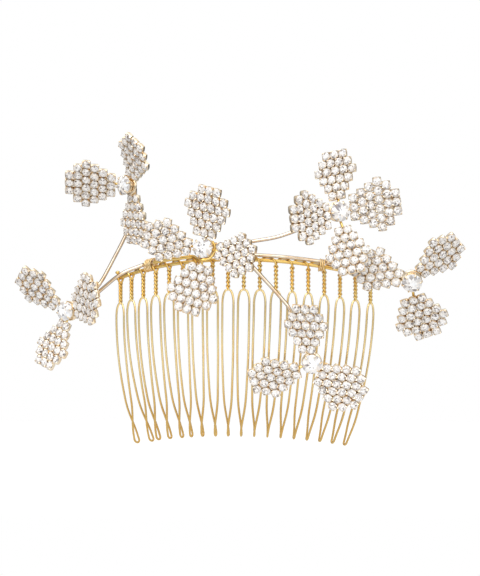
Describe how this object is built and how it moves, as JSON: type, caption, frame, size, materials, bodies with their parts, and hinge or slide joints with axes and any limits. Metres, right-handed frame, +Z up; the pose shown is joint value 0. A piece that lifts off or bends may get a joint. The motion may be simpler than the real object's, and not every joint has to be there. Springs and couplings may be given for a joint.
{
  "type": "decorative hair comb",
  "caption": "Bent-wire hair comb with twisted teeth on a curved rod, carrying stone-set flowers on thin wire stems that flex.",
  "frame": {"origin": "middle of the whole comb's bounding box", "axes": "+X along the comb's chord to the viewer's right, +Z up, front faces -Y, teeth point to -Z"},
  "size_m": [0.1256, 0.0332, 0.0858],
  "materials": {
    "gold_wire": "bright yellow gold plate on drawn wire",
    "rose_gold_wire": "bright rose gold plate on drawn wire",
    "fine_gold_wire": "bright gold plate on fine wire",
    "setting_gold": "bright gold plate on stamped brass",
    "set_stones": "clear foil-backed stones in gold cups",
    "clear_stone": "clear faceted stone"
  },
  "bodies": {
    "comb": {"core_rod": "gold_wire", "tooth_wire": "gold_wire", "binding_coil_left": "fine_gold_wire", "binding_coil_right": "fine_gold_wire", "stem_left_bound": "rose_gold_wire", "stem_right_bound": "rose_gold_wire", "flower_c_base_disc": "setting_gold", "flower_c_claw_setting": "setting_gold", "flower_c_centre_stone": "clear_stone", "flower_c_petal_top": "set_stones", "flower_c_petal_left": "set_stones", "flower_c_petal_bottom": "set_stones", "flower_c_petal_right": "set_stones"},
    "sprig_a": {"stem_a": "rose_gold_wire", "flower_a_base_disc": "setting_gold", "flower_a_claw_setting": "setting_gold", "flower_a_centre_stone": "clear_stone", "flower_a_petal_upper_left": "set_stones", "flower_a_petal_right": "set_stones", "flower_a_petal_lower": "set_stones"},
    "sprig_b": {"stem_b": "rose_gold_wire", "flower_b_base_disc": "setting_gold", "flower_b_claw_setting": "setting_gold", "flower_b_centre_stone": "clear_stone", "flower_b_petal_left": "set_stones", "flower_b_petal_top": "set_stones", "flower_b_petal_bottom": "set_stones"},
    "sprig_d": {"stem_d": "rose_gold_wire", "flower_d_base_disc": "setting_gold", "flower_d_claw_setting": "setting_gold", "flower_d_centre_stone": "clear_stone", "flower_d_petal_top": "set_stones", "flower_d_petal_right": "set_stones", "flower_d_petal_left": "set_stones", "flower_d_petal_bottom": "set_stones"},
    "sprig_e": {"stem_e": "rose_gold_wire", "flower_e_base_disc": "setting_gold", "flower_e_claw_setting": "setting_gold", "flower_e_centre_stone": "clear_stone", "flower_e_petal_left": "set_stones", "flower_e_petal_upper_right": "set_stones", "flower_e_petal_bottom": "set_stones"},
    "sprig_f": {"stem_f": "rose_gold_wire", "flower_f_base_disc": "setting_gold", "flower_f_claw_setting": "setting_gold", "flower_f_centre_stone": "clear_stone", "flower_f_petal_top": "set_stones", "flower_f_petal_left": "set_stones", "flower_f_petal_right": "set_stones"}
  },
  "joints": [
    {"name": "stem_a_bend", "type": "hinge", "parent": "comb", "child": "sprig_a", "pos_m": [-0.02601, 0.00061, 0.00686], "axis": [-0.5053, 0, 0.8629], "range_deg": [-8, 10], "stiffness_Nm_per_rad": 0.12},
    {"name": "stem_b_bend", "type": "hinge", "parent": "sprig_a", "child": "sprig_b", "pos_m": [-0.04453, 0.00281, -0.00339], "axis": [0.9202, 0, -0.3914], "range_deg": [-8, 4], "stiffness_Nm_per_rad": 0.12},
    {"name": "stem_d_bend", "type": "hinge", "parent": "comb", "child": "sprig_d", "pos_m": [-0.00606, -0.00485, 0.01241], "axis": [0.2343, 0, -0.9722], "range_deg": [0, 8], "stiffness_Nm_per_rad": 0.1},
    {"name": "stem_e_bend", "type": "hinge", "parent": "comb", "child": "sprig_e", "pos_m": [0.024, -0.00097, 0.00758], "axis": [-0.2303, 0, -0.9731], "range_deg": [-4, 5], "stiffness_Nm_per_rad": 0.12},
    {"name": "stem_f_bend", "type": "hinge", "parent": "comb", "child": "sprig_f", "pos_m": [-0.00604, -0.00495, 0.01091], "axis": [-0.742, 0, -0.6704], "range_deg": [0, 8], "stiffness_Nm_per_rad": 0.1}
  ]
}
